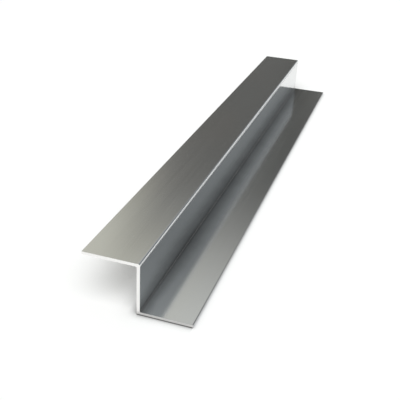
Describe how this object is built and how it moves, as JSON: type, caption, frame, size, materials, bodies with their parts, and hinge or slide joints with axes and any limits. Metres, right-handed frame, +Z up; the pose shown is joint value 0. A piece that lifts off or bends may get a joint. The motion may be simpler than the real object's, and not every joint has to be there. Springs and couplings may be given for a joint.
{
  "type": "z-profile",
  "caption": "Plain extruded metal Z-profile: an upright web with one flange at its head and one at its foot that point opposite ways, cut square at both ends.",
  "frame": {"origin": "on the surface that the lower flange rests on, halfway along the length and halfway across the width over both flanges", "axes": "+Y along the profile, +Z up from the lower flange to the upper flange, +X towards the free edge of the lower flange"},
  "size_m": [0.099, 0.65, 0.05],
  "materials": {
    "mill_metal": "bare mill finish, faint lines along the length, brighter where sawn"
  },
  "bodies": {
    "root": {"z_profile": "mill_metal"}
  },
  "joints": []
}
